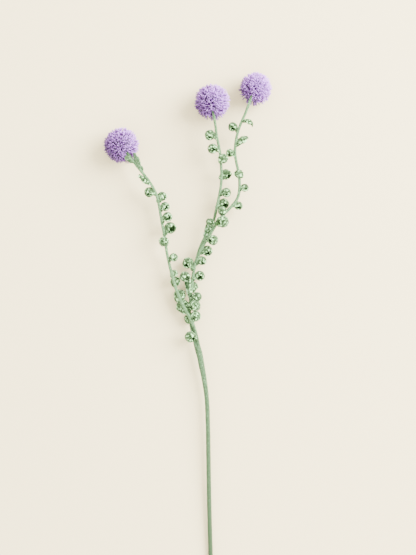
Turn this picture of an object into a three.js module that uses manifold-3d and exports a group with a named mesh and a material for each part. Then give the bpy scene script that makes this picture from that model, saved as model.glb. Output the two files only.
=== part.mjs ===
// A cut flowering spray laid down on a table: one thick stem, three leafy branches and three
// globe-shaped flower heads. Millimetres, +Z up. The origin is under the middle of the spray, on
// the surface it lies on, and +Y runs from the cut end towards the flowers.

import * as THREE from "three";
import { ConvexHull } from "three/addons/math/ConvexHull.js";
import { mergeVertices } from "three/addons/utils/BufferGeometryUtils.js";
import Module from "manifold-3d";

const wasm = await Module();
wasm.setup();
const { Manifold, Mesh: SolidMesh } = wasm;

// Driving dimensions
const STEM_RADIUS = 2.6;
const COLLAR_HALF_WIDTH = 4.5; // the stem widens at its top to hold two branches side by side
const COLLAR_HALF_DEPTH = 3.0;
const COLLAR_TAPER = 46; // length over which the collar narrows to the stem
const BRANCH_BASE_RADIUS = 1.85;
const BRANCH_TIP_RADIUS = 1.55;
const SHANK_RADIUS = 1.35; // of a branch where it stands in the stem or leaves its neighbour
const SHANK_LENGTH = 18; // over which it swells to the branch
const SEAT_GAP = 0.3; // clearance round every branch end in its socket
const STEM_STATIONS = 24;
const STEM_SIDES = 12;
const BRANCH_STATIONS = 30;
const BRANCH_SIDES = 6;

const LEAF_LENGTH = 42; // along the midrib, from the branch's centre line to the curled tip
const LEAF_HALF_WIDTH = 8.8; // measured over the curved blade
const LEAF_THICKNESS = 1.3;
const HOOD_RADIUS = 6.5; // of the curled end, along the midrib and across it

const FLORETS_PER_HEAD = 420;
const FLORET_DEPTH = 0.24; // share of the head's radius that shows between two florets
const BASE_DIMPLE = 0.27; // how far the head's underside draws in round its branch
const DIMPLE_INNER_ANGLE = 8; // degrees from the branch, where the dimple is deepest
const DIMPLE_OUTER_ANGLE = 46; // degrees from the branch, where the dimple ends
const FLORET_STRAY = 0.07; // how far a floret strays from its even place, as a share of the radius
const FLORET_UNEVENNESS = 0.045; // how much shorter the shortest floret is, as a share of the radius
const REST_SPOT_ANGLE = 17; // degrees from straight down in which the florets are pressed flat

// Centre lines, from the stem's end towards the flowers
const MAIN_STEM = [
  [29.9, -336.7, 2.51],
  [28.7, -288.6, 4.0],
  [27.4, -241.8, 5.7],
  [26.6, -202.8, 7.0],
  [26.0, -163.8, 8.2],
  [25.2, -120.0, 9.6],
  [23.6, -85.0, 10.7],
  [20.2, -60.0, 11.5],
  [17.0, -42.9, 12.1],
  [13.7, -26.5, 12.6],
  [10.2, -12.0, 13.0],
];
const LEFT_BRANCH = [
  [16.0, -27.6, 12.6],
  [13.2, -17.0, 13.1],
  [10.6, -5.5, 14.2],
  [6.6, 8.9, 16.8],
  [2.3, 18.4, 18.6],
  [-3.9, 29.2, 19.8],
  [-10.3, 42.0, 20.6],
  [-15.4, 54.4, 21.2],
  [-19.6, 69.0, 21.8],
  [-25.1, 90.0, 22.2],
  [-28.8, 109.0, 22.6],
  [-31.0, 126.0, 23.0],
  [-34.4, 143.0, 23.6],
  [-37.4, 161.0, 24.6],
  [-40.4, 175.5, 26.2],
  [-46.2, 189.0, 28.6],
  [-55.6, 202.6, 32.0],
  [-65.6, 214.6, 34.2],
  [-73.0, 224.4, 33.6],
  [-79.4, 233.0, 30.4],
  [-84.0, 239.4, 25.6],
];
const MIDDLE_BRANCH = [
  [12.0, -28.4, 12.2],
  [9.0, -17.0, 12.6],
  [6.4, -5.0, 12.8],
  [3.4, 8.2, 12.6],
  [1.7, 20.0, 12.4],
  [1.5, 30.0, 12.8],
  [2.4, 42.0, 13.6],
  [4.0, 57.2, 14.8],
  [6.0, 74.4, 15.8],
  [8.7, 88.4, 16.4],
  [11.9, 100.6, 16.8],
  [15.6, 112.0, 17.2],
  [21.4, 123.8, 17.8],
  [27.6, 133.4, 18.6],
  [32.4, 144.6, 19.6],
  [35.8, 158.6, 21.0],
  [38.6, 171.3, 22.4],
  [41.3, 184.6, 24.0],
  [42.8, 198.6, 25.8],
  [42.5, 214.5, 27.8],
  [41.3, 230.1, 29.8],
  [38.6, 245.1, 31.8],
  [36.4, 256.6, 33.4],
  [35.0, 267.6, 34.4],
  [33.4, 277.4, 34.0],
  [31.8, 286.4, 31.2],
  [31.0, 294.2, 27.6],
];
const RIGHT_BRANCH = [
  [9.8, 91.0, 17.8],
  [13.4, 100.4, 19.4],
  [16.9, 109.0, 20.6],
  [22.0, 118.2, 21.4],
  [27.6, 127.0, 22.2],
  [33.2, 136.4, 22.8],
  [38.8, 145.4, 23.2],
  [45.0, 152.8, 23.4],
  [52.0, 159.8, 23.4],
  [58.0, 166.2, 23.4],
  [62.8, 173.0, 23.6],
  [65.4, 180.6, 23.8],
  [66.3, 190.4, 24.2],
  [66.0, 201.0, 24.8],
  [64.5, 210.3, 25.6],
  [62.2, 220.7, 26.4],
  [60.5, 232.0, 27.4],
  [60.8, 242.6, 28.4],
  [62.5, 253.5, 29.6],
  [65.2, 263.6, 30.8],
  [69.2, 273.6, 32.0],
  [73.4, 283.2, 32.8],
  [77.0, 292.4, 32.8],
  [80.2, 301.2, 30.4],
  [83.0, 307.8, 26.4],
  [85.4, 312.8, 21.6],
];

// Leaves of each branch: how far up the spray each grows (Y), where it grows round its branch in
// degrees (0 is the right-hand side, 90 straight up from the table, 180 the left), and its size.
const LEFT_LEAVES = [
  [-9, 118, 1.04],
  [27, 24, 0.72],
  [28, 240, 1.0],
  [40, 190, 0.6],
  [44, -60, 0.96],
  [61, -100, 0.9],
  [73, 6, 0.66],
  [92, 22, 0.8],
  [114, 96, 0.9],
  [128, -24, 1.08],
  [143, 12, 0.9],
  [158, -8, 0.86],
  [170, -24, 0.86],
  [180, 196, 0.92],
  [208, 10, 0.52],
];
const LEFT_ARCHED = [[196, 176, 1.06]];
const LEFT_BRACTS = [
  [213, 16, 1.15],
  [219, 62, 0.8],
];
const MIDDLE_LEAVES = [
  [-10, 220, 0.62],
  [15, 216, 0.92],
  [15, 2, 0.92],
  [32, -28, 0.95],
  [43, 14, 0.9],
  [54, -62, 0.96],
  [69, -14, 0.94],
  [82, 164, 1.04],
  [90, -56, 0.8],
  [133, 152, 1.0],
  [163, -26, 0.98],
  [179, 10, 0.88],
  [200, -26, 1.02],
  [222, 82, 0.86],
  [235, 168, 0.92],
  [252, 174, 0.96],
];
const MIDDLE_LONG = [[46, 170, 1.0]];
const RIGHT_LEAVES = [
  [104, -8, 0.98],
  [121, -14, 0.96],
  [146, 12, 0.94],
  [156, 114, 0.72],
  [165, -46, 0.76],
  [185, 8, 0.74],
  [202, 78, 0.8],
  [230, 184, 0.8],
  [260, 176, 0.86],
];
const RIGHT_ARCHED = [[275, 10, 0.96]];
const RIGHT_LIFTED = [[243, 14, 1.0]];

const HEADS = {
  left: { centre: [-87, 243.4, 21.7], lean: [-0.575, 0.818], droop: 35, radius: 22.3, rests: true },
  middle: { centre: [30.7, 299.8, 24.4], lean: [-0.08, 0.997], droop: 28, radius: 22.4, rests: false },
  right: { centre: [87.9, 317.6, 19.7], lean: [0.45, 0.893], droop: 40, radius: 20.3, rests: true },
};

const DEGREE = Math.PI / 180;
const UP = new THREE.Vector3(0, 0, 1);

// A repeatable draw between 0 and 1.
function seededDraw(seed) {
  let state = seed;
  return () => {
    state = (state * 1664525 + 1013904223) >>> 0;
    return state / 4294967296;
  };
}

const smooth = THREE.MathUtils.smoothstep;
const lerp = THREE.MathUtils.lerp;

function routeOf(points) {
  const vectors = points.map((p) => new THREE.Vector3(...p));
  return new THREE.CatmullRomCurve3(vectors, false, "centripetal");
}

// Where a route is at share t of its length, with the right-hand and upward directions there.
function frameAt(route, t) {
  const point = route.getPointAt(t);
  const along = route.getTangentAt(t);
  const right = along.clone().cross(UP).normalize();
  const up = right.clone().cross(along);
  return { point, along, right, up };
}

// Share of the route's length at which it reaches the height y.
function shareAtY(route, y) {
  let low = 0;
  let high = 1;
  for (let i = 0; i < 30; i++) {
    const middle = (low + high) / 2;
    if (route.getPointAt(middle).y < y) low = middle;
    else high = middle;
  }
  return low;
}

// A closed mesh as a solid. Triangles index the list of points.
function solidFrom(points, triangles) {
  const geometry = new THREE.BufferGeometry();
  geometry.setFromPoints(points);
  geometry.setIndex(triangles.flat());
  const merged = mergeVertices(geometry, 1e-4);
  return new Manifold(
    new SolidMesh({
      numProp: 3,
      vertProperties: merged.attributes.position.array,
      triVerts: new Uint32Array(merged.index.array),
    }),
  );
}

// A stalk of oval section along a route. sectionAt(t) gives its half width and half depth there.
// extra makes it fatter and longer all round, which cuts the socket that it stands in.
function stalk(route, sectionAt, stations, sides, extra = 0) {
  const points = [];
  const triangles = [];
  for (let i = 0; i <= stations; i++) {
    const t = i / stations;
    const { point, along, right, up } = frameAt(route, t);
    if (i === 0) point.addScaledVector(along, -extra);
    if (i === stations) point.addScaledVector(along, extra);
    const [halfWidth, halfDepth] = sectionAt(t);
    for (let k = 0; k < sides; k++) {
      const angle = ((k + 0.5) * 2 * Math.PI) / sides;
      points.push(
        point
          .clone()
          .addScaledVector(right, Math.cos(angle) * (halfWidth + extra))
          .addScaledVector(up, Math.sin(angle) * (halfDepth + extra)),
      );
    }
  }
  const last = stations * sides;
  for (let k = 0; k < sides; k++) {
    const next = (k + 1) % sides;
    for (let ring = 0; ring < last; ring += sides) {
      triangles.push([ring + k, ring + sides + k, ring + next]);
      triangles.push([ring + next, ring + sides + k, ring + sides + next]);
    }
    if (k > 0 && k < sides - 1) {
      triangles.push([0, k, k + 1]);
      triangles.push([last, last + k + 1, last + k]);
    }
  }
  return solidFrom(points, triangles);
}

// The thick stem: round, widening to an oval collar at its top.
function stemSolid(route) {
  const length = route.getLength();
  const sectionAt = (t) => {
    const flare = 1 - smooth((1 - t) * length, 0, COLLAR_TAPER);
    return [lerp(STEM_RADIUS, COLLAR_HALF_WIDTH, flare), lerp(STEM_RADIUS, COLLAR_HALF_DEPTH, flare)];
  };
  return stalk(route, sectionAt, STEM_STATIONS, STEM_SIDES);
}

// A branch without its leaves: a thin shank that swells, then tapers a little to the head.
function branchStalk(route, extra = 0) {
  const length = route.getLength();
  const sectionAt = (t) => {
    const full = lerp(BRANCH_BASE_RADIUS, BRANCH_TIP_RADIUS, t);
    const swelling = smooth(t * length, SHANK_LENGTH / 2, SHANK_LENGTH);
    const radius = lerp(SHANK_RADIUS, full, swelling);
    return [radius, radius];
  };
  return stalk(route, sectionAt, BRANCH_STATIONS, BRANCH_SIDES, extra);
}

// Leaf shapes. A leaf leaves its branch at "rise" degrees from the branch's own direction, runs
// straight for its stalk's share and then curls outwards until its tip points "curl" degrees away.
const HOODED = { rise: 20, curl: 316, stalk: 0.2, width: 1, length: 1 };
const ARCHED = { rise: 44, curl: 180, stalk: 0.2, width: 0.86, length: 0.54 };
const LIFTED = { rise: 22, curl: 106, stalk: 0.27, width: 0.84, length: 0.48 };
const LONG_STALKED = { rise: 9, curl: 270, stalk: 0.5, width: 0.84, length: 1.3 };
const BRACT = { rise: 12, curl: 38, stalk: 0.2, width: 0.76, length: 0.46 };
const BLADE_STATIONS = [0, 0.22, 0.42, 0.62, 0.81, 1];
const BLADE_ACROSS = [-1.15, -0.42, 0.31, 1.02]; // the margin under the leaf rolls in further

// Half width along the leaf, as a share of its widest: a stalk that opens into a round blade. The
// power moves the widest place past the middle, and the tip stays blunt.
function bladeWidth(s) {
  const [narrowest, rootShare, tipShare, power] = [0.3, 0.14, 0.9, 1.1];
  return Math.max(narrowest, Math.sin(Math.PI * lerp(rootShare, tipShare, s) ** power));
}

// A leaf as a solid in its own frame: X outwards from the branch, Y along it. It cups towards +Z,
// or towards -Z where skyward is -1.
function leafSolid(shape, size, skyward) {
  const length = LEAF_LENGTH * shape.length * size;
  const stalkLength = length * shape.stalk;
  const turn = (shape.curl - shape.rise) * DEGREE;
  const radius = (length - stalkLength) / turn;
  const bend = HOOD_RADIUS * size;
  const stations = [0, ...BLADE_STATIONS.map((s) => shape.stalk + (1 - shape.stalk) * s)];
  const half = LEAF_THICKNESS / 2;
  const faces = { outer: [], inner: [] };
  for (const s of stations) {
    const travelled = s * length;
    const curled = Math.max(0, travelled - stalkLength) / radius;
    const straight = Math.min(travelled, stalkLength);
    const start = shape.rise * DEGREE;
    const heading = start + curled;
    const x = straight * Math.sin(start) + radius * (Math.cos(start) - Math.cos(heading));
    const y = straight * Math.cos(start) + radius * (Math.sin(heading) - Math.sin(start));
    const outward = new THREE.Vector3(-Math.cos(heading), Math.sin(heading), 0);
    const across = new THREE.Vector3(0, 0, 1);
    const reach = (LEAF_HALF_WIDTH * shape.width * size * bladeWidth(s)) / bend;
    const rolled = BLADE_ACROSS.map((v) => v * skyward).sort((a, b) => a - b);
    for (const v of rolled) {
      const angle = reach * v;
      const normal = outward
        .clone()
        .multiplyScalar(Math.cos(angle))
        .addScaledVector(across, Math.sin(angle));
      const point = new THREE.Vector3(x, y, 0)
        .addScaledVector(outward, -bend)
        .addScaledVector(normal, bend);
      faces.outer.push(point.clone().addScaledVector(normal, half));
      faces.inner.push(point.clone().addScaledVector(normal, -half));
    }
  }
  return bladeFrom(faces, stations.length, BLADE_ACROSS.length);
}

// Closes two alike grids of points into one thin solid.
function bladeFrom(faces, rows, columns) {
  const under = rows * columns;
  const triangles = [];
  const at = (row, column) => row * columns + column;
  const quad = (a, b, c, d) => triangles.push([a, b, c], [a, c, d]);
  for (let r = 0; r < rows - 1; r++) {
    for (let c = 0; c < columns - 1; c++) {
      const [p, q, u, w] = [at(r, c), at(r, c + 1), at(r + 1, c + 1), at(r + 1, c)];
      quad(p, q, u, w);
      triangles.push([under + p, under + u, under + q], [under + p, under + w, under + u]);
    }
  }
  for (let r = 0; r < rows - 1; r++) {
    const [left, leftNext] = [at(r, 0), at(r + 1, 0)];
    const [right, rightNext] = [at(r, columns - 1), at(r + 1, columns - 1)];
    quad(left, leftNext, under + leftNext, under + left);
    quad(rightNext, right, under + right, under + rightNext);
  }
  for (let c = 0; c < columns - 1; c++) {
    const [root, rootNext] = [at(0, c), at(0, c + 1)];
    const [tip, tipNext] = [at(rows - 1, c), at(rows - 1, c + 1)];
    quad(rootNext, root, under + root, under + rootNext);
    quad(tip, tipNext, under + tipNext, under + tip);
  }
  return solidFrom([...faces.outer, ...faces.inner], triangles);
}

// A leaf in its place on a branch.
function leafOn(route, shape, [y, around, size]) {
  const { point, along, right, up } = frameAt(route, shareAtY(route, y));
  const out = right
    .clone()
    .multiplyScalar(Math.cos(around * DEGREE))
    .addScaledVector(up, Math.sin(around * DEGREE));
  const across = out.clone().cross(along);
  const place = new THREE.Matrix4().makeBasis(out, along, across).setPosition(point);
  const skyward = across.z < 0 ? -1 : 1;
  return leafSolid(shape, size, skyward).transform(place.elements);
}

// Each leaf list comes with the shape of its leaves.
function leafyBranch(route, ...lists) {
  const leaves = lists.flatMap(([shape, list]) => list.map((leaf) => leafOn(route, shape, leaf)));
  return Manifold.union([branchStalk(route), ...leaves]);
}

// The direction in which a head faces, away from its branch.
function headAxis({ lean, droop }) {
  const level = new THREE.Vector2(...lean).normalize().multiplyScalar(Math.cos(droop * DEGREE));
  return new THREE.Vector3(level.x, level.y, -Math.sin(droop * DEGREE));
}

// A globe of florets: each is a point of relief with a valley in every gap between it and its
// neighbours. The underside draws in round the branch, and a head that touches the table is
// pressed flat there.
function flowerHead(head, seed) {
  const draw = seededDraw(seed);
  const centre = new THREE.Vector3(...head.centre);
  const axis = headAxis(head);
  const turn = new THREE.Quaternion().setFromUnitVectors(UP, axis);
  const goldenTurn = Math.PI * (3 - Math.sqrt(5));
  const tips = [];
  for (let i = 0; i < FLORETS_PER_HEAD; i++) {
    const height = 1 - (2 * i + 1) / FLORETS_PER_HEAD;
    const ring = Math.sqrt(1 - height * height);
    const angle = i * goldenTurn;
    const direction = new THREE.Vector3(ring * Math.cos(angle), ring * Math.sin(angle), height);
    const stray = new THREE.Vector3(draw() - 0.5, draw() - 0.5, draw() - 0.5).multiplyScalar(FLORET_STRAY);
    tips.push(direction.add(stray).normalize());
  }
  const place = (direction, share) => {
    const fromBase = Math.acos(THREE.MathUtils.clamp(-direction.z, -1, 1)) / DEGREE;
    const dimple = 1 - BASE_DIMPLE * (1 - smooth(fromBase, DIMPLE_INNER_ANGLE, DIMPLE_OUTER_ANGLE));
    const turned = direction.clone().applyQuaternion(turn);
    const fromDown = Math.acos(THREE.MathUtils.clamp(-turned.z, -1, 1)) / DEGREE;
    const point = turned.multiplyScalar(head.radius * dimple * share).add(centre);
    if (head.rests && fromDown < REST_SPOT_ANGLE) point.z = 0;
    return point;
  };
  const hull = new ConvexHull().setFromPoints(tips);
  const index = new Map(tips.map((tip, i) => [tip, i]));
  const points = tips.map((tip) => place(tip, 1 - FLORET_UNEVENNESS * draw()));
  const valleyOf = new Map();
  for (const face of hull.faces) {
    const corners = [face.edge, face.edge.next, face.edge.prev].map((edge) => edge.head().point);
    const middle = corners[0].clone().add(corners[1]).add(corners[2]).normalize();
    valleyOf.set(face, points.length);
    points.push(place(middle, 1 - FLORET_DEPTH));
  }
  const triangles = [];
  for (const face of hull.faces) {
    for (const edge of [face.edge, face.edge.next, face.edge.prev]) {
      triangles.push([index.get(edge.head().point), valleyOf.get(face), valleyOf.get(edge.twin.face)]);
    }
  }
  return solidFrom(points, triangles);
}

// The largest piece of a cut solid, without the scraps.
function largest(solid) {
  return solid.decompose().reduce((a, b) => (a.volume() > b.volume() ? a : b));
}

function meshOf(name, solid, finish) {
  const { vertProperties, triVerts, numProp } = solid.getMesh();
  const geometry = new THREE.BufferGeometry();
  const data = new THREE.InterleavedBuffer(vertProperties, numProp);
  geometry.setAttribute("position", new THREE.InterleavedBufferAttribute(data, 3, 0));
  geometry.setIndex(new THREE.BufferAttribute(triVerts, 1));
  const mesh = new THREE.Mesh(geometry, new THREE.MeshStandardMaterial(finish));
  mesh.name = name;
  return mesh;
}

const STEM_FINISH = { color: "#93b08c", roughness: 0.9, metalness: 0 };
const LEAF_FINISH = { color: "#b4d0ab", roughness: 0.95, metalness: 0 };
const FLORET_FINISH = { color: "#c9afe6", roughness: 0.8, metalness: 0 };

const routes = {
  main: routeOf(MAIN_STEM),
  left: routeOf(LEFT_BRANCH),
  middle: routeOf(MIDDLE_BRANCH),
  right: routeOf(RIGHT_BRANCH),
};
const sockets = {
  left: branchStalk(routes.left, SEAT_GAP),
  middle: branchStalk(routes.middle, SEAT_GAP),
  right: branchStalk(routes.right, SEAT_GAP),
};

const mainStem = stemSolid(routes.main).subtract(sockets.left).subtract(sockets.middle);
const leftBranch = leafyBranch(
  routes.left,
  [HOODED, LEFT_LEAVES],
  [ARCHED, LEFT_ARCHED],
  [BRACT, LEFT_BRACTS],
).subtract(sockets.middle);
const middleBranch = leafyBranch(routes.middle, [HOODED, MIDDLE_LEAVES], [LONG_STALKED, MIDDLE_LONG]);
const rightBranch = leafyBranch(
  routes.right,
  [HOODED, RIGHT_LEAVES],
  [ARCHED, RIGHT_ARCHED],
  [LIFTED, RIGHT_LIFTED],
).subtract(sockets.middle);
const [leftHead, middleHead, rightHead] = ["left", "middle", "right"].map((side, i) =>
  largest(flowerHead(HEADS[side], i + 1).subtract(sockets[side])),
);

const spray = new THREE.Group();
spray.add(
  meshOf("main_stem", mainStem, STEM_FINISH),
  meshOf("left_leafy_branch", largest(leftBranch), LEAF_FINISH),
  meshOf("middle_leafy_branch", largest(middleBranch), LEAF_FINISH),
  meshOf("right_leafy_branch", largest(rightBranch), LEAF_FINISH),
  meshOf("left_flower_head", leftHead, FLORET_FINISH),
  meshOf("middle_flower_head", middleHead, FLORET_FINISH),
  meshOf("right_flower_head", rightHead, FLORET_FINISH),
);

export default spray;
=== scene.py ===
"""A cut flowering spray, laid down on a pale table and seen from above.

One flocked stem carries three branches of curled, woolly, spoon-shaped leaves. Each branch ends in a
globe of narrow lavender florets. Lengths are given in millimetres and multiplied by MM, because
everything is modelled in metres. The table is at z = 0, and +Y runs from the cut end to the flowers.
"""

import math
import random

import bmesh
import bpy
import numpy as np
from mathutils import Matrix, Vector


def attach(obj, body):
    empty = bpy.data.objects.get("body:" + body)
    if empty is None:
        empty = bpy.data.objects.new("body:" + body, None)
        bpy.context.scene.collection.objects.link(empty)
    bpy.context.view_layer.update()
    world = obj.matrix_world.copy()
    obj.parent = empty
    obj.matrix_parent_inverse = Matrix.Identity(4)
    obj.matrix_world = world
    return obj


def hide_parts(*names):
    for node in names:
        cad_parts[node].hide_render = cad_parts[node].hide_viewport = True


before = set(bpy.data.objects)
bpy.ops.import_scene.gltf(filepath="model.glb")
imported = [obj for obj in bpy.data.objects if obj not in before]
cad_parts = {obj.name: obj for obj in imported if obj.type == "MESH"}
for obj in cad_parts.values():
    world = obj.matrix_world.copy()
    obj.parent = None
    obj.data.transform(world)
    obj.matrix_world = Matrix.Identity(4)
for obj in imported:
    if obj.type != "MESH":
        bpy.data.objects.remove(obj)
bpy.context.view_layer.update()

MM = 0.001
UP = Vector((0, 0, 1))
TABLE_CLEARANCE = 0.3  # least height over the table of anything that lies on it

# Stem and branches
STEM_RADIUS = 3.0
STEM_TOP_RADII = (3.4, 3.9, 4.2, 3.2)  # at its last four points, where it swells under the fork
BRANCH_RADIUS = 2.1
BRANCH_TIP_RADIUS = 1.65
BRANCH_ROOT_SHARES = (0.4, 0.75, 0.95)  # of its radius at its first points, inside what it grows from
FORK_RADIUS = 2.15  # of each branch where it leaves the fork
FORK_POINTS = 4  # so many points of each branch grow together with the stem
FORK_VOXEL = 0.5  # the fork is remeshed this fine, so that its three tubes grow together
STEM_SIDES = 24
BRANCH_SIDES = 16
TUBE_STEPS = 14  # from one point of a route to the next
LINE_STEPS = 24  # the same where a route is only measured

# Flock on the stem, branches and leaves. Real fibres are too fine to show, so they are drawn coarser.
NAP = 0.7  # how far the flock stands up and down
NAP_SIZE = 0.9  # across its lumps
HEIGHT_SPREAD = 1.1  # from the deepest crease to the highest ridge: the range of the painted shade and light
TUFT_SIZE = 1.1  # of the uneven tufts in its colour
TUFT_SHARE = 0.35  # of its colour that the tufts give; painted shade and light by height give the rest
FIBRE_SIZE = 0.6  # of its fine bump
# The flock's colour is painted shade in its creases and painted light on its ridges
CREASE, SLOPE, RIDGE = 0.38, 0.56, 0.77  # heights of its dark, middle and pale colours
STEM_DARKENS = (-60, -300)  # Y between which the stem darkens towards its cut end

# Leaves, as in the solid model: a straight stalk, then a hood of constant curl
LEAF_LENGTH = 48
LEAF_HALF_WIDTH = 9.4
LEAF_THICKNESS = 1.3
LEAF_STALK_THICKNESS = 2.8
HOOD_RADIUS = 6.8
LEAF_COLUMNS = 8
LEAF_ROWS = 14
LEAF_ROOT_DROP = 1.5  # how much lower down its branch a leaf starts than in the solid model
LEAF_TWIST = 20  # degrees that a leaf may be twisted on its stalk, either way
# Widths of a leaf's two margins: from -1 to 0 along its stalk, from 0 to 1 along its hood. The margin
# that faces up is narrower at both ends of the hood, and so leaves a mouth beside the stalk.
UPPER_WIDTHS = (
    (-1, 0.36), (-0.4, 0.6), (0, 0.74), (0.12, 0.94), (0.22, 1), (0.58, 1), (0.75, 0.64), (1, 0.45),
)
LOWER_WIDTHS = ((-1, 0.4), (-0.4, 0.7), (0, 1), (0.8, 1), (0.92, 0.92), (1, 0.7))
UNDER_MARGIN = 1.45  # how far the lower margin rolls in, as a share of the half width
MARGINS = {"shut": 1.25, "ajar": 1.08, "open": 0.92}  # the same for the margin that faces up
CRINKLE = 3.4  # height of the waves in a leaf's margin
CRINKLE_SIZE = 4.5
CRUMPLE = 2.7  # height of the small lumps all over a leaf
CRUMPLE_SIZE = 2.2
MIDRIB_SHARE = 0.3  # of those waves and lumps that is left along the midrib
BRACT_SHARE = 0.35  # of them that is left on a bract, which is smoother

# Florets
FLORETS_PER_HEAD = 1600
FLORET_LENGTH = 11
FLORET_WIDTH = 1.75
FLORET_WIDTHS = (0.45, 0.58, 0.74, 0.9, 1.0, 0.96, 0.55)  # shares of that, from the root to the tip
FLORET_THICKNESS = 0.32
FLORET_GUTTER = 150  # degrees that a floret is rolled up across its width
FLORET_ARCHES = (-12, 10, 26, 44)  # degrees of arch of the four floret patterns
FLORET_ROOT = 0.52  # share of the head's radius at which a floret starts
FLORET_STRAY = 0.1  # how far a floret strays from its even place
FLORET_REACH = (0.87, 1.08)  # shortest and longest floret tip, as shares of the head's radius
RAGGED_REACH = (0.78, 0.84, 0.9, 0.95, 0.82, 0.88, 0.98, 1.14)  # of the florets beside the branch
# How far a tip leans sideways at random, as a share of the floret's length: half as far as a lean of
# 9 degrees would take it
FLORET_LEAN = math.tan(math.radians(9)) / 2
STALK_CLEARING = 7  # degrees round the branch without florets
LIT_SIDE = Vector((0.74, 0.5, 0.45))  # the way that the lit side of every head faces, towards the window; florets there are painted paler
PAINTED_LIGHT_BY_SIDE = 0.44  # how much paler a floret is painted that points that way, or darker if it points away: painted light
FADED_BY_CHANCE = 0.2  # and how much paler or darker at random
# The place along a floret paints shade near its root; its shade number holds its tone and painted light
SHADE_SHARE = 0.28  # of a floret's colour that its shade number gives; the place along it gives the rest
HEART_SHIFT = 0.12  # share of the radius by which the roots are drawn to the side away from the light

# Heads
CORE_SHARE = 0.68  # of the head's radius
CORE_LUMPS = 1.2  # height of the lumps in a head's core
CORE_LUMP_SIZE = 2.4
BASE_DIMPLE = 0.1  # how much less a head reaches beside its branch, as a share of its radius
DIMPLE_ANGLES = (6, 34)  # degrees from the branch between which that dimple rises to nothing

# Paint of the table's board, and foam of the heads' cores
GRAIN_SIZE = 3  # across their faint unevenness
GRAIN_DEPTH = 0.2

# Table, window, room and camera
TABLE_SIZE = 6000
WINDOW_PLACE = (2100, 1100, 1800)
WINDOW_AIM = (20, 100, 0)
WINDOW_SIZE = 2200
WINDOW_POWER = 660
ROOM_STRENGTH = 4.8
CAMERA_PLACE = (25.4, 71.7, 1724)
CAMERA_LENS = 85

# Centre lines, from the stem's end towards the flowers
MAIN_STEM = [
    (29.9, -336.7, 2.9), (28.7, -288.6, 4.2), (27.4, -241.8, 5.7), (26.6, -202.8, 7.0),
    (26.0, -163.8, 8.2), (25.2, -120.0, 9.6), (23.6, -85.0, 10.7), (20.2, -60.0, 11.5),
    (17.0, -42.9, 12.1), (13.9, -26.5, 12.6), (11.6, -18.0, 13.0),
]
LEFT_BRANCH = [
    (16.0, -27.6, 12.6), (13.2, -17.0, 13.1), (10.6, -5.5, 14.2), (6.6, 8.9, 16.8),
    (2.3, 18.4, 18.6), (-3.9, 29.2, 19.8), (-10.3, 42.0, 20.6), (-15.4, 54.4, 21.2),
    (-19.6, 69.0, 21.8), (-25.1, 90.0, 22.2), (-28.8, 109.0, 22.6), (-31.0, 126.0, 23.0),
    (-34.4, 143.0, 23.6), (-37.4, 161.0, 24.6), (-40.4, 175.5, 26.2), (-46.2, 189.0, 28.6),
    (-55.6, 202.6, 32.0), (-65.6, 214.6, 34.2), (-73.0, 224.4, 33.6), (-79.4, 233.0, 30.4),
    (-84.0, 239.4, 25.6),
]
MIDDLE_BRANCH = [
    (12.0, -28.4, 12.2), (9.0, -17.0, 12.6), (6.4, -5.0, 12.8), (3.4, 8.2, 12.6),
    (1.7, 20.0, 12.4), (1.5, 30.0, 12.8), (2.4, 42.0, 13.6), (4.0, 57.2, 14.8),
    (6.0, 74.4, 15.8), (8.7, 88.4, 16.4), (11.9, 100.6, 16.8), (15.6, 112.0, 17.2),
    (21.4, 123.8, 17.8), (27.6, 133.4, 18.6), (32.4, 144.6, 19.6), (35.8, 158.6, 21.0),
    (38.6, 171.3, 22.4), (41.3, 184.6, 24.0), (42.8, 198.6, 25.8), (42.5, 214.5, 27.8),
    (41.3, 230.1, 29.8), (38.6, 245.1, 31.8), (36.4, 256.6, 33.4), (35.0, 267.6, 34.4),
    (33.4, 277.4, 34.0), (31.8, 286.4, 31.2), (31.0, 294.2, 27.6),
]
RIGHT_BRANCH = [
    (9.8, 91.0, 17.8), (13.4, 100.4, 19.4), (16.9, 109.0, 20.6), (22.0, 118.2, 21.4),
    (27.6, 127.0, 22.2), (33.2, 136.4, 22.8), (38.8, 145.4, 23.2), (45.0, 152.8, 23.4),
    (52.0, 159.8, 23.4), (58.0, 166.2, 23.4), (62.8, 173.0, 23.6), (65.4, 180.6, 23.8),
    (66.3, 190.4, 24.2), (66.0, 201.0, 24.8), (64.5, 210.3, 25.6), (62.2, 220.7, 26.4),
    (60.5, 232.0, 27.4), (60.8, 242.6, 28.4), (62.5, 253.5, 29.6), (65.2, 263.6, 30.8),
    (69.2, 273.6, 32.0), (73.4, 283.2, 32.8), (77.0, 292.4, 32.8), (80.2, 301.2, 30.4),
    (83.0, 307.8, 26.4), (85.4, 312.8, 21.6),
]

# Leaf shapes. A leaf rises from its branch at "rise" degrees, is straight for its stalk's share and
# then curls by "curl" degrees. "roll" turns it on its stalk, so that its back faces the sky. Width
# and length are shares of the usual leaf's. A crooked leaf curls up less than a hooded one. An
# upright leaf is a hooded one that grows on top of its branch, and so needs no roll. A bract is a
# straight leaf that is smoother and paler.
SHAPES = {
    "hooded": {"rise": 20, "curl": 326, "stalk": 0.2, "width": 1, "length": 1, "roll": 30},
    "crooked": {"rise": 20, "curl": 288, "stalk": 0.24, "width": 1, "length": 0.93, "roll": 26},
    "upright": {"rise": 20, "curl": 326, "stalk": 0.2, "width": 1, "length": 1, "roll": 0},
    "arched": {"rise": 44, "curl": 136, "stalk": 0.2, "width": 0.92, "length": 0.52, "roll": 40},
    "lifted": {"rise": 22, "curl": 84, "stalk": 0.25, "width": 0.9, "length": 0.49, "roll": 40},
    "long_stalked": {"rise": 9, "curl": 296, "stalk": 0.46, "width": 0.86, "length": 1.36, "roll": 14},
    "straight": {"rise": 12, "curl": 26, "stalk": 0.2, "width": 0.7, "length": 0.42, "roll": 46},
    "bract": {"rise": 12, "curl": 26, "stalk": 0.2, "width": 0.7, "length": 0.42, "roll": 46},
}
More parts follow.
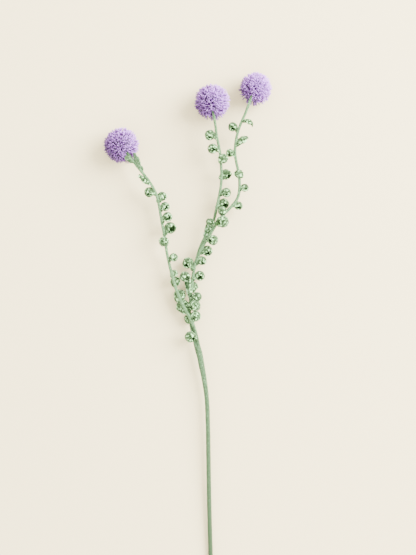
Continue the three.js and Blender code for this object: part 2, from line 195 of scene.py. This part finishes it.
# Shapes that have the paler flock of the branches on their outside, and on their inside
PALE_OUTSIDE = ("bract",)
PALE_INSIDE = ("bract", "long_stalked")

# Leaves: how far up the spray each grows (Y), where it grows round its branch in degrees (0 is the
# right-hand side, 90 straight up, 180 the left), its size, its shape and how open its hood is.
LEFT_LEAVES = [
    (-9, 118, 1.04, "hooded", "ajar"),
    (27, -66, 0.72, "hooded", "shut"),
    (28, 240, 1.22, "hooded", "ajar"),
    (43, 225, 0.62, "hooded", "shut"),
    (42, -60, 1.1, "hooded", "open"),
    (61, -100, 0.9, "hooded", "ajar"),
    (73, -42, 0.66, "hooded", "shut"),
    (92, 22, 0.8, "hooded", "shut"),
    (114, 92, 0.9, "upright", "ajar"),
    (128, -24, 1.08, "crooked", "open"),
    (143, 12, 0.9, "crooked", "ajar"),
    (158, -8, 0.86, "hooded", "ajar"),
    (170, -24, 0.86, "crooked", "ajar"),
    (180, 196, 0.92, "hooded", "ajar"),
    (194, 176, 1.0, "straight", "ajar"),
    (208, 10, 0.56, "bract", "ajar"),
    (213, 16, 1.12, "bract", "ajar"),
    (221, 106, 0.7, "bract", "ajar"),
]
MIDDLE_LEAVES = [
    (-10, 220, 0.62, "hooded", "shut"),
    (13, 250, 0.92, "hooded", "open"),
    (14, 62, 1.0, "hooded", "shut"),
    (30, 60, 1.04, "hooded", "ajar"),
    (42, 50, 0.94, "hooded", "shut"),
    (46, 148, 0.98, "long_stalked", "ajar"),
    (54, -58, 0.96, "hooded", "ajar"),
    (69, -14, 0.94, "crooked", "ajar"),
    (82, 164, 1.04, "crooked", "ajar"),
    (90, -10, 0.84, "crooked", "shut"),
    (125, 118, 0.72, "long_stalked", "ajar"),
    (163, -26, 0.98, "crooked", "open"),
    (179, 10, 0.88, "hooded", "shut"),
    (200, -36, 0.98, "hooded", "open"),
    (221, 80, 0.9, "upright", "ajar"),
    (235, 168, 0.92, "hooded", "ajar"),
    (252, 174, 0.96, "hooded", "ajar"),
]
RIGHT_LEAVES = [
    (104, -8, 0.98, "hooded", "ajar"),
    (120, 56, 0.96, "hooded", "ajar"),
    (141, 84, 1.1, "crooked", "open"),
    (152, 100, 0.8, "hooded", "shut"),
    (166, -16, 0.8, "hooded", "ajar"),
    (185, 8, 0.74, "hooded", "ajar"),
    (202, 84, 0.8, "upright", "ajar"),
    (230, 184, 0.74, "hooded", "shut"),
    (243, 14, 1.0, "lifted", "ajar"),
    (260, 176, 0.86, "hooded", "ajar"),
    (275, 10, 0.86, "arched", "ajar"),
]
BRANCHES = {
    "left": (LEFT_BRANCH, LEFT_LEAVES),
    "middle": (MIDDLE_BRANCH, MIDDLE_LEAVES),
    "right": (RIGHT_BRANCH, RIGHT_LEAVES),
}

# Heads: the branch runs into each along "lean", seen from above, and the head droops by so many
# degrees. Florets within "ragged" degrees of the branch end unevenly. The last entry is how pale the
# head is, from 0 to 1, before the painted light of its side and chance change that.
HEADS = {
    "left": {
        "centre": (-87, 243.4, 21.7), "radius": 22.3, "lean": (-0.575, 0.818), "droop": 35,
        "ragged": 24, "paleness": 0.36,
    },
    "middle": {
        "centre": (30.7, 299.8, 24.4), "radius": 22.4, "lean": (-0.08, 0.997), "droop": 28,
        "ragged": 34, "paleness": 0.48,
    },
    "right": {
        "centre": (87.9, 317.6, 19.7), "radius": 20.3, "lean": (0.45, 0.893), "droop": 40,
        "ragged": 66, "paleness": 0.6,
    },
}


# Small helpers for modelling

def only(piece):
    """Makes piece the one selected and active object."""
    bpy.ops.object.select_all(action="DESELECT")
    piece.select_set(True)
    bpy.context.view_layer.objects.active = piece


def pick(piece, wanted):
    """In edit mode, selects the vertices whose place is wanted."""
    mesh = bmesh.from_edit_mesh(piece.data)
    for vertex in mesh.verts:
        vertex.select_set(wanted(vertex.co))
    mesh.select_flush_mode()
    bmesh.update_edit_mesh(piece.data)


def modify(piece, kind, **settings):
    """Adds one modifier to piece and applies it."""
    only(piece)
    modifier = piece.modifiers.new(kind.lower(), kind)
    for name, value in settings.items():
        setattr(modifier, name, value)
    bpy.ops.object.modifier_apply(modifier=modifier.name)


def joined(name, pieces):
    """Joins pieces into the first of them."""
    only(pieces[0])
    for piece in pieces:
        piece.select_set(True)
    bpy.ops.object.join()
    pieces[0].name = name
    pieces[0].data.name = name
    return pieces[0]


def smoothed(piece):
    """Shades piece smooth."""
    only(piece)
    bpy.ops.object.shade_smooth()


def upright_grid(columns, rows):
    """A grid that stands in the XZ plane, one metre wide and high, with its middle at the origin."""
    bpy.ops.object.select_all(action="DESELECT")
    bpy.ops.mesh.primitive_grid_add(
        x_subdivisions=columns, y_subdivisions=rows, size=1, rotation=(math.pi / 2, 0, 0)
    )
    bpy.ops.object.transform_apply(location=False, rotation=True, scale=False)
    return bpy.context.object


def clouds(name, size):
    """A cloud texture whose lumps are size millimetres across."""
    texture = bpy.data.textures.new(name, "CLOUDS")
    texture.noise_scale = size * MM
    texture.noise_depth = 1
    return texture


def smoothstep(value, low, high):
    """Rises smoothly from 0 at low to 1 at high."""
    share = min(1, max(0, (value - low) / (high - low)))
    return share * share * (3 - 2 * share)


def keep_above_table(piece):
    """Presses flat what would reach into the table."""
    for vertex in piece.data.vertices:
        vertex.co.z = max(vertex.co.z, TABLE_CLEARANCE * MM)


def hand_over(piece, slot, *nodes):
    """Says what piece rides on and hides the solids it stands for."""
    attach(piece, "root")
    if nodes:
        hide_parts(*nodes)


# Routes

def curve_through(name, points, radii):
    """A smooth curve through points. radii are its radii there, in millimetres."""
    curve = bpy.data.curves.new(name, "CURVE")
    curve.dimensions = "3D"
    spline = curve.splines.new("BEZIER")
    spline.bezier_points.add(len(points) - 1)
    for knot, point, radius in zip(spline.bezier_points, points, radii):
        knot.co = Vector(point) * MM
        knot.radius = radius
        knot.handle_left_type = "AUTO"
        knot.handle_right_type = "AUTO"
    piece = bpy.data.objects.new(name, curve)
    bpy.context.collection.objects.link(piece)
    return piece


def line_of(points):
    """The points in metres, close together, of the smooth curve through points."""
    curve = curve_through("line", points, [1] * len(points))
    curve.data.resolution_u = LINE_STEPS
    bpy.context.view_layer.update()
    mesh = bpy.data.meshes.new_from_object(curve)
    line = [vertex.co.copy() for vertex in mesh.vertices]
    bpy.data.meshes.remove(mesh)
    bpy.data.objects.remove(curve)
    return line


def frame_at(line, y):
    """The place where a line reaches y millimetres, with its directions along, right and up. Along
    runs from two points before the place to two points after it."""
    index = next(i for i in range(1, len(line)) if line[i].y >= y * MM)
    before, after = line[index - 1], line[index]
    share = (y * MM - before.y) / (after.y - before.y)
    along = (line[min(index + 2, len(line) - 1)] - line[max(index - 3, 0)]).normalized()
    right = along.cross(UP).normalized()
    return before.lerp(after, share), along, right, right.cross(along)


def tube(name, points, radii, sides):
    """A round stalk along the points, with closed ends."""
    piece = curve_through(name, points, radii)
    piece.data.resolution_u = TUBE_STEPS
    piece.data.bevel_depth = MM
    piece.data.bevel_resolution = sides // 2 - 2
    piece.data.use_fill_caps = True
    only(piece)
    bpy.ops.object.convert(target="MESH")
    return piece


# Flock

def vertex_values(piece, what):
    """The place or the normal of every vertex, one to a row."""
    values = np.zeros(len(piece.data.vertices) * 3, np.float32)
    piece.data.vertices.foreach_get(what, values)
    return values.reshape(-1, 3)


def raise_nap(piece):
    """Crumples the leaves and roughens everything as flock does. Each point keeps how high it came to
    stand in the attribute "height": 0 in the creases, 1 on the ridges. The flock's colours use it for
    painted shade in the creases and painted light on the ridges."""
    before = vertex_values(piece, "co")
    normals = vertex_values(piece, "normal")
    if "margin" in piece.vertex_groups:
        modify(
            piece, "DISPLACE", texture=clouds("crumple", CRUMPLE_SIZE), strength=CRUMPLE * MM,
            mid_level=0.5, vertex_group="margin",
        )
    modify(piece, "DISPLACE", texture=clouds("flock", NAP_SIZE), strength=NAP * MM, mid_level=0.5)
    rise = ((vertex_values(piece, "co") - before) * normals).sum(axis=1) / MM
    height = piece.data.attributes.new("height", "FLOAT", "POINT")
    height.data.foreach_set("value", np.clip(0.5 + rise / HEIGHT_SPREAD, 0, 1).astype(np.float32))
    smoothed(piece)


# Leaves

def cut_margins(leaf, shape, length, skyward):
    """Gives each row of a leaf's grid its widths, to the left and the right of the midrib."""
    stalk = shape["stalk"]
    near = length / LEAF_ROWS / 4
    for row in range(LEAF_ROWS + 1):
        share = row / LEAF_ROWS
        height = length * (share - stalk)
        if share < stalk:
            at = share / stalk - 1
        else:
            at = (share - stalk) / (1 - stalk)
        for side, widths in ((skyward, UPPER_WIDTHS), (-skyward, LOWER_WIDTHS)):
            width = np.interp(at, *zip(*widths))
            pick(leaf, lambda place: abs(place.z - height) < near and place.x * side > 0)
            bpy.ops.transform.resize(value=(width, 1, 1), center_override=(0, 0, height))


def weigh(leaf, half_width, stalk, roughness):
    """Group "margin" says how much a point waves and crumples, and group "body" how much of the
    stalk's thickness it has."""
    margin = leaf.vertex_groups.new(name="margin")
    body = leaf.vertex_groups.new(name="body")
    for vertex in leaf.data.vertices:
        from_midrib = min(1, abs(vertex.co.x) / half_width)
        waves = (MIDRIB_SHARE + (1 - MIDRIB_SHARE) * from_midrib) * roughness
        margin.add([vertex.index], waves, "REPLACE")
        body.add([vertex.index], 1 - smoothstep(vertex.co.z, -stalk, stalk), "REPLACE")


def leaf_pattern(shape_name, hood, skyward, flocks):
    """A leaf whose root is at the origin. It runs up Z and curls towards +Y.

    skyward is 1 where the margin on the +X side will face up, and -1 where the other one will."""
    shape = SHAPES[shape_name]
    length = LEAF_LENGTH * shape["length"] * MM
    stalk = length * shape["stalk"]
    half_width = LEAF_HALF_WIDTH * shape["width"] * MM
    margins = sorted([-UNDER_MARGIN * skyward, MARGINS[hood] * skyward])
    leaf = upright_grid(LEAF_COLUMNS, LEAF_ROWS)
    leaf.name = "leaf_pattern"
    leaf.data.materials.append(flocks["branch" if shape_name in PALE_OUTSIDE else "leaf"])
    leaf.data.materials.append(flocks["branch" if shape_name in PALE_INSIDE else "hollow"])
    bpy.ops.object.mode_set(mode="EDIT")
    bpy.ops.transform.resize(value=(half_width * (margins[1] - margins[0]), 1, length))
    bpy.ops.transform.translate(value=(half_width * sum(margins) / 2, 0, length / 2 - stalk))
    cut_margins(leaf, shape, length, skyward)
    bpy.ops.object.mode_set(mode="OBJECT")
    weigh(leaf, half_width, stalk, BRACT_SHARE if shape_name == "bract" else 1)
    modify(
        leaf, "DISPLACE", texture=clouds("crinkle", CRINKLE_SIZE), strength=CRINKLE * MM,
        mid_level=0.5, vertex_group="margin",
    )
    across = [vertex.co.x for vertex in leaf.data.vertices]
    cup = (max(across) - min(across)) / (HOOD_RADIUS * MM)
    modify(leaf, "SIMPLE_DEFORM", deform_method="BEND", deform_axis="Z", angle=cup)
    modify(
        leaf, "SIMPLE_DEFORM", deform_method="BEND", deform_axis="X",
        angle=math.radians(shape["curl"]), limits=(shape["stalk"], 1),
    )
    modify(
        leaf, "SOLIDIFY", thickness=LEAF_STALK_THICKNESS * MM, offset=0, material_offset=1,
        vertex_group="body", thickness_vertex_group=LEAF_THICKNESS / LEAF_STALK_THICKNESS,
    )
    modify(leaf, "SUBSURF", levels=2, render_levels=2)
    leaf.data.transform(Matrix.Translation((0, 0, stalk)))
    return leaf


def leaf_on(line, leaf, twist, flocks, patterns):
    """A leaf in its place on a branch, twisted a little on its stalk. It is a copy of the right one
    of the patterns, which is made when it is first needed."""
    y, around, size, shape_name, hood = leaf
    place, along, right, up = frame_at(line, y - LEAF_ROOT_DROP * size)
    outward = right * math.cos(math.radians(around)) + up * math.sin(math.radians(around))
    across = outward.cross(along)
    skyward = -1 if across.z < 0 else 1
    rise = math.radians(SHAPES[shape_name]["rise"])
    axes = Matrix((
        across,
        outward * math.cos(rise) - along * math.sin(rise),
        along * math.cos(rise) + outward * math.sin(rise),
    )).transposed()
    roll = Matrix.Rotation(math.radians(skyward * SHAPES[shape_name]["roll"] + twist), 3, "Z")
    axes = axes @ roll
    key = (shape_name, hood, skyward)
    if key not in patterns:
        patterns[key] = leaf_pattern(*key, flocks)
    copy = patterns[key].copy()
    copy.data = patterns[key].data.copy()
    bpy.context.collection.objects.link(copy)
    copy.data.transform(Matrix.Translation(place) @ axes.to_4x4() @ Matrix.Scale(size, 4))
    return copy


# Branches and stem

def leafy_branch(name, points, leaves, flocks, patterns):
    """A flocked branch with all its leaves, as one piece. It tapers evenly towards its head."""
    steps = len(points) - 1
    radii = [BRANCH_RADIUS + (BRANCH_TIP_RADIUS - BRANCH_RADIUS) * i / steps for i in range(steps + 1)]
    radii[: len(BRANCH_ROOT_SHARES)] = [BRANCH_RADIUS * share for share in BRANCH_ROOT_SHARES]
    stalk = tube(name, points, radii, BRANCH_SIDES)
    stalk.data.materials.append(flocks["branch"])
    line = line_of(points)
    draw = random.Random(len(leaves))
    parts = [stalk]
    for leaf in leaves:
        parts.append(leaf_on(line, leaf, draw.uniform(-LEAF_TWIST, LEAF_TWIST), flocks, patterns))
    branch = joined(name, parts)
    raise_nap(branch)
    keep_above_table(branch)
    return branch


def fork_and_stem(name, flock):
    """The stem with the roots of two branches, which start well inside its top, all grown together."""
    stem_radii = [STEM_RADIUS] * (len(MAIN_STEM) - len(STEM_TOP_RADII)) + list(STEM_TOP_RADII)
    tubes = [tube(name, MAIN_STEM, stem_radii, STEM_SIDES)]
    inside_stem = MAIN_STEM[-4:-2]
    for branch in (LEFT_BRANCH, MIDDLE_BRANCH):
        points = inside_stem + branch[:FORK_POINTS]
        tubes.append(tube("fork_root", points, [FORK_RADIUS] * len(points), BRANCH_SIDES))
    stem = joined(name, tubes)
    modify(stem, "REMESH", mode="VOXEL", voxel_size=FORK_VOXEL * MM)
    modify(stem, "SMOOTH", factor=0.5, iterations=6)
    stem.data.materials.clear()
    stem.data.materials.append(flock)
    raise_nap(stem)
    keep_above_table(stem)
    return stem


# Flower heads

def floret_pattern(arch):
    """A narrow strap of a floret that stands on the origin, gutter-shaped and blunt at its tip. Its
    attribute "reach" is 0 at the root and 1 at the tip."""
    rows = len(FLORET_WIDTHS) - 1
    length = FLORET_LENGTH * MM
    near = length / rows / 4
    floret = upright_grid(2, rows)
    bpy.ops.object.mode_set(mode="EDIT")
    bpy.ops.transform.resize(value=(FLORET_WIDTH * MM, 1, length))
    bpy.ops.transform.translate(value=(0, 0, length / 2))
    for row, width in enumerate(FLORET_WIDTHS):
        height = length * row / rows
        pick(floret, lambda place: abs(place.z - height) < near)
        bpy.ops.transform.resize(value=(width, 1, 1), center_override=(0, 0, height))
    bpy.ops.object.mode_set(mode="OBJECT")
    shares = [vertex.co.z / length for vertex in floret.data.vertices]
    reach = floret.data.attributes.new("reach", "FLOAT", "POINT")
    reach.data.foreach_set("value", shares)
    gutter = math.radians(FLORET_GUTTER)
    modify(floret, "SIMPLE_DEFORM", deform_method="BEND", deform_axis="Z", angle=gutter)
    modify(floret, "SIMPLE_DEFORM", deform_method="BEND", deform_axis="X", angle=math.radians(arch))
    modify(floret, "SOLIDIFY", thickness=FLORET_THICKNESS * MM, offset=0)
    return floret


def facing(head):
    """The turn that takes a head from straight up to the way it faces, away from its branch."""
    droop = math.radians(head["droop"])
    level = Vector(head["lean"]).normalized() * math.cos(droop)
    axis = Vector((level.x, level.y, -math.sin(droop)))
    return UP.rotation_difference(axis).to_matrix()


def heart_of(head):
    """How far the middle of the florets' roots lies from the head's own middle: level with it, and
    away from the lit side."""
    level = Vector((LIT_SIDE.x, LIT_SIDE.y, 0))
    return -level * head["radius"] * HEART_SHIFT * MM


def degrees_from_base(direction):
    """How far a direction is from the branch, before the head is turned."""
    return math.degrees(math.acos(max(-1, min(1, -direction.z))))


def dimple_at(from_base):
    """How far the head reaches there, as a share of its radius: less round its branch."""
    return 1 - BASE_DIMPLE * (1 - smoothstep(from_base, *DIMPLE_ANGLES))


def even_direction(i):
    """The direction of floret number i of a head. They wind evenly round the globe, from top to base."""
    golden_turn = math.pi * (3 - math.sqrt(5))
    height = 1 - (2 * i + 1) / FLORETS_PER_HEAD
    ring = math.sqrt(1 - height * height)
    return Vector((ring * math.cos(i * golden_turn), ring * math.sin(i * golden_turn), height))


def floret_places(head, draw):
    """Where each floret of a head stands, and how pale it is. They are evenly spread, with a little
    stray, and end unevenly beside the branch. They are painted paler towards the window and darker away
    from it: painted light and shade."""
    turn = facing(head)
    centre = Vector(head["centre"]) * MM
    radius = head["radius"] * MM
    branch_side = -Vector(head["lean"])
    places = []
    for i in range(FLORETS_PER_HEAD):
        stray = Vector([draw.uniform(-0.5, 0.5) for _ in range(3)]) * FLORET_STRAY
        direction = (even_direction(i) + stray).normalized()
        from_base = degrees_from_base(direction)
        if from_base < STALK_CLEARING:
            continue
        spoke = turn @ direction * radius * dimple_at(from_base)
        root = spoke * FLORET_ROOT + heart_of(head)
        lean = Vector([draw.gauss(0, 1) for _ in range(3)]) * FLORET_LEAN
        reach = draw.uniform(*FLORET_REACH)
        if spoke.xy.angle(branch_side) < math.radians(head["ragged"]):
            reach = draw.choice(RAGGED_REACH)
        floret = spoke * reach - root
        heading = (floret.normalized() + lean).normalized()
        rotation = UP.rotation_difference(heading).to_matrix().to_4x4()
        roll = Matrix.Rotation(draw.uniform(0, 2 * math.pi), 4, "Z")
        stretch = Matrix.Diagonal((1, 1, floret.length / (FLORET_LENGTH * MM), 1))
        place = Matrix.Translation(centre + root) @ rotation @ roll @ stretch
        by_chance = draw.uniform(-FADED_BY_CHANCE, FADED_BY_CHANCE)
        # Painted light and shade: paler towards the window, darker away from it, on top of the head's
        # own paleness and a random tone
        paleness = head["paleness"] + PAINTED_LIGHT_BY_SIDE * heading.dot(LIT_SIDE) + by_chance
        places.append((place, paleness))
    return places


def copies_of(name, pattern, places, shades):
    """One mesh of a copy of the pattern at each place, with a shade number for each copy."""
    corners = np.array([(*vertex.co, 1) for vertex in pattern.data.vertices])
    faces = [np.array(face.vertices) for face in pattern.data.polygons]
    points = np.concatenate([corners @ np.array(place).T for place in places])[:, :3]
    sides = [tuple(face + copy * len(corners)) for copy in range(len(places)) for face in faces]
    mesh = bpy.data.meshes.new(name)
    mesh.from_pydata(points, [], sides)
    shares = np.zeros(len(corners), np.float32)
    pattern.data.attributes["reach"].data.foreach_get("value", shares)
    reach = mesh.attributes.new("reach", "FLOAT", "POINT")
    reach.data.foreach_set("value", np.tile(shares, len(places)))
    shade = mesh.attributes.new("shade", "FLOAT", "POINT")
    shade.data.foreach_set("value", np.repeat(np.array(shades, np.float32), len(corners)))
    piece = bpy.data.objects.new(name, mesh)
    bpy.context.collection.objects.link(piece)
    return piece


def flower_head(side, head, seed, patterns, cloth):
    """A globe of florets, dealt out at random among the patterns."""
    draw = random.Random(seed)
    places = floret_places(head, draw)
    draw.shuffle(places)
    parts = []
    for k, pattern in enumerate(patterns):
        group = places[k :: len(patterns)]
        parts.append(copies_of(f"{side}_florets", pattern, *zip(*group)))
    globe = joined(f"{side}_head_florets", parts)
    globe.data.materials.append(cloth)
    keep_above_table(globe)
    smoothed(globe)
    return globe


def head_core(side, head, foam):
    """The dark, lumpy core that the florets stand in, drawn in round its branch. Its near-black purple
    is partly painted shade, deep between the florets.
    """
    bpy.ops.object.select_all(action="DESELECT")
    bpy.ops.mesh.primitive_ico_sphere_add(subdivisions=4, radius=head["radius"] * CORE_SHARE * MM)
    core = bpy.context.object
    core.name = f"{side}_head_core"
    core.data.name = core.name
    for vertex in core.data.vertices:
        vertex.co *= dimple_at(degrees_from_base(vertex.co.normalized()))
    lumps = clouds("core_lumps", CORE_LUMP_SIZE)
    modify(core, "DISPLACE", texture=lumps, strength=CORE_LUMPS * MM, mid_level=0.5)
    heart = Vector(head["centre"]) * MM + heart_of(head)
    core.data.transform(Matrix.Translation(heart) @ facing(head).to_4x4())
    core.data.materials.append(foam)
    smoothed(core)
    return core


# Materials

def linear(hex_colour):
    """An sRGB hex colour as linear red, green, blue and alpha."""
    values = [int(hex_colour[i : i + 2], 16) / 255 for i in (1, 3, 5)]
    return [v / 12.92 if v <= 0.04045 else ((v + 0.055) / 1.055) ** 2.4 for v in values] + [1]


def new_material(name):
    """A material without nodes, and its node tree."""
    material = bpy.data.materials.new(name)
    material.use_nodes = True
    material.node_tree.nodes.clear()
    return material, material.node_tree


def add(tree, kind, values=None, links=None, **settings):
    """Adds a node with its settings, its socket values and its incoming links."""
    made = tree.nodes.new(kind)
    for name, value in settings.items():
        setattr(made, name, value)
    for socket, value in (values or {}).items():
        made.inputs[socket].default_value = value
    for socket, source in (links or {}).items():
        tree.links.new(source, made.inputs[socket])
    return made


def set_stops(ramp, *stops):
    """Gives a colour ramp its stops, each a position and a hex colour."""
    elements = ramp.color_ramp.elements
    while len(elements) < len(stops):
        elements.new(0.5)
    for element, (position, colour) in zip(elements, stops):
        element.position = position
        element.color = linear(colour)


def flocked(name, dark, middle, pale, low=None):
    """Nylon flock blown onto glue, on wire or on a moulded leaf. It is matt and looks woolly, with a
    soft bloom round its edges. Its colour is painted shade, dark, in its creases and painted light,
    pale, on its ridges. low is the colour at the stem's cut end, if it darkens there."""
    material, tree = new_material(name)
    where = add(tree, "ShaderNodeTexCoord").outputs["Object"]
    height = add(tree, "ShaderNodeAttribute", attribute_name="height").outputs["Fac"]
    tufts = add(
        tree, "ShaderNodeTexNoise", {"Scale": 1 / (TUFT_SIZE * MM), "Detail": 5}, {"Vector": where}
    )
    # Painted shade and light: the colour goes dark in the creases and pale on the ridges, with tufts
    # mixed in
    crease_shade_and_tufts = add(
        tree, "ShaderNodeMix", {"Factor": TUFT_SHARE},
        {"A": height, "B": tufts.outputs["Fac"]}, data_type="FLOAT",
    )
    ramp = add(tree, "ShaderNodeValToRGB", links={"Fac": crease_shade_and_tufts.outputs["Result"]})
    set_stops(ramp, (CREASE, dark), (SLOPE, middle), (RIDGE, pale))
    colour = ramp.outputs["Color"]
    if low:
        start, end = STEM_DARKENS
        split = add(tree, "ShaderNodeSeparateXYZ", links={"Vector": where})
        down = add(
            tree, "ShaderNodeMapRange", {"From Min": start * MM, "From Max": end * MM},
            {"Value": split.outputs["Y"]},
        )
        darker = add(
            tree, "ShaderNodeMix", {"B": linear(low)},
            {"Factor": down.outputs["Result"], "A": colour}, data_type="RGBA",
        )
        colour = darker.outputs["Result"]
    fibres = add(
        tree, "ShaderNodeTexNoise", {"Scale": 1 / (FIBRE_SIZE * MM), "Detail": 3}, {"Vector": where}
    )
    bump = add(
        tree, "ShaderNodeBump", {"Strength": 1, "Distance": FIBRE_SIZE * MM},
        {"Height": fibres.outputs["Fac"]},
    )
    skin = add(
        tree, "ShaderNodeBsdfPrincipled",
        {
            "Roughness": 0.95, "Specular IOR Level": 0.2,
            "Sheen Weight": 0.25, "Sheen Roughness": 0.5, "Sheen Tint": linear("#c8e6be"),
        },
        {"Base Color": colour, "Normal": bump.outputs["Normal"]},
    )
    add(tree, "ShaderNodeOutputMaterial", links={"Surface": skin.outputs["BSDF"]})
    return material


def satin_with_painted_light(name):
    """Straps of dyed satin ribbon, softly shiny and lavender at their tips. The deep purple at their
    roots, where they stand close together, is painted shade. Each strap is paler or darker by its own
    shade number, which holds its own tone and the painted light of its side of the head."""
    material, tree = new_material(name)
    reach = add(tree, "ShaderNodeAttribute", attribute_name="reach").outputs["Fac"]
    shade = add(tree, "ShaderNodeAttribute", attribute_name="shade").outputs["Fac"]
    dye_and_painted_light = add(
        tree, "ShaderNodeMix", {"Factor": SHADE_SHARE}, {"A": reach, "B": shade}, data_type="FLOAT"
    )
    ramp = add(tree, "ShaderNodeValToRGB", links={"Fac": dye_and_painted_light.outputs["Result"]})
    # Painted shade: near black at the roots, where the straps stand close together, lavender at the tips
    set_stops(ramp, (0.27, "#1d0526"), (0.5, "#3a0f4e"), (0.73, "#60297a"), (0.9, "#a267c4"))
    # The shade number, tone and painted light together, makes each strap brighter or darker
    brightness = add(tree, "ShaderNodeMapRange", {"To Min": 0.8, "To Max": 1.2}, {"Value": shade})
    colour = add(
        tree, "ShaderNodeHueSaturation",
        links={"Value": brightness.outputs["Result"], "Color": ramp.outputs["Color"]},
    )
    skin = add(
        tree, "ShaderNodeBsdfPrincipled",
        {"Roughness": 0.5, "Specular IOR Level": 0.4, "Sheen Weight": 0.3, "Sheen Roughness": 0.5},
        {"Base Color": colour.outputs["Color"]},
    )
    add(tree, "ShaderNodeOutputMaterial", links={"Surface": skin.outputs["BSDF"]})
    return material


def plain(name, colour, roughness):
    """One matt colour with a faintly uneven surface: the brushed paint of the table's board, and the
    dyed foam core, so dark that it also paints the shade deep between the florets."""
    material, tree = new_material(name)
    where = add(tree, "ShaderNodeTexCoord").outputs["Object"]
    grain = add(
        tree, "ShaderNodeTexNoise", {"Scale": 1 / (GRAIN_SIZE * MM), "Detail": 3}, {"Vector": where}
    )
    bump = add(
        tree, "ShaderNodeBump", {"Strength": 0.1, "Distance": GRAIN_DEPTH * MM},
        {"Height": grain.outputs["Fac"]},
    )
    skin = add(
        tree, "ShaderNodeBsdfPrincipled",
        {"Base Color": linear(colour), "Roughness": roughness, "Specular IOR Level": 0.2},
        {"Normal": bump.outputs["Normal"]},
    )
    add(tree, "ShaderNodeOutputMaterial", links={"Surface": skin.outputs["BSDF"]})
    return material


# Table, light and camera

def table_top():
    """The pale painted board that the spray lies on, matt and even."""
    bpy.ops.object.select_all(action="DESELECT")
    bpy.ops.mesh.primitive_plane_add(size=TABLE_SIZE * MM)
    table = bpy.context.object
    table.name = "table"
    table.data.materials.append(plain("painted_board", "#cfc197", 0.9))


def window():
    """Soft daylight from the upper right, aimed at the middle of the spray."""
    lamp = bpy.data.lights.new("window", "AREA")
    lamp.size = WINDOW_SIZE * MM
    lamp.energy = WINDOW_POWER
    holder = bpy.data.objects.new("window", lamp)
    bpy.context.collection.objects.link(holder)
    holder.location = Vector(WINDOW_PLACE) * MM
    way = Vector(WINDOW_AIM) - Vector(WINDOW_PLACE)
    holder.rotation_euler = way.to_track_quat("-Z", "Y").to_euler()


def room():
    """A bright, nearly white room all round, which keeps the shadows soft."""
    world = bpy.data.worlds.new("room")
    world.use_nodes = True
    background = world.node_tree.nodes["Background"]
    background.inputs["Color"].default_value = linear("#fbf9f4")
    background.inputs["Strength"].default_value = ROOM_STRENGTH
    bpy.context.scene.world = world


def camera():
    """Straight above the spray, 1.7 m over its branches, with a long lens."""
    data = bpy.data.cameras.new("camera")
    data.lens = CAMERA_LENS
    data.sensor_width = 36
    holder = bpy.data.objects.new("camera", data)
    holder.location = Vector(CAMERA_PLACE) * MM
    bpy.context.collection.objects.link(holder)
    bpy.context.scene.camera = holder


camera()
table_top()
window()
room()

# Each flock's colours are those of its creases, its slopes and its ridges: painted shade in the
# creases and painted light on the ridges. The flock inside the hoods is darker, as painted shade.
stem_flock = flocked("sage_flock_on_wire", "#1b3018", "#435f3e", "#98bd8e", low="#2c3f25")
flocks = {
    "leaf": flocked("mint_flock_on_leaf", "#15290f", "#3b5832", "#a4d894"),
    "hollow": flocked("shaded_flock_in_hood", "#25441c", "#3d6733", "#62935a"),
    "branch": flocked("pale_flock_on_branch", "#263e23", "#55774e", "#a5ca99"),
}
floret_cloth = satin_with_painted_light("satin_straps_with_painted_light")
# The core's near-black purple is partly painted shade, deep between the florets
core_foam = plain("purple_foam_core", "#340d44", 0.95)

stem = fork_and_stem("main_stem_flocked", stem_flock)
hand_over(stem, "stem", "main_stem")

leaf_patterns = {}
for side, (points, leaves) in BRANCHES.items():
    branch = leafy_branch(f"{side}_branch_flocked", points, leaves, flocks, leaf_patterns)
    hand_over(branch, "foliage", f"{side}_leafy_branch")

floret_patterns = [floret_pattern(arch) for arch in FLORET_ARCHES]
for seed, (side, head) in enumerate(HEADS.items(), start=1):
    globe = flower_head(side, head, seed, floret_patterns, floret_cloth)
    hand_over(globe, "florets", f"{side}_flower_head")
    hand_over(head_core(side, head, core_foam), "florets")

for pattern in floret_patterns + list(leaf_patterns.values()):
    bpy.data.objects.remove(pattern)
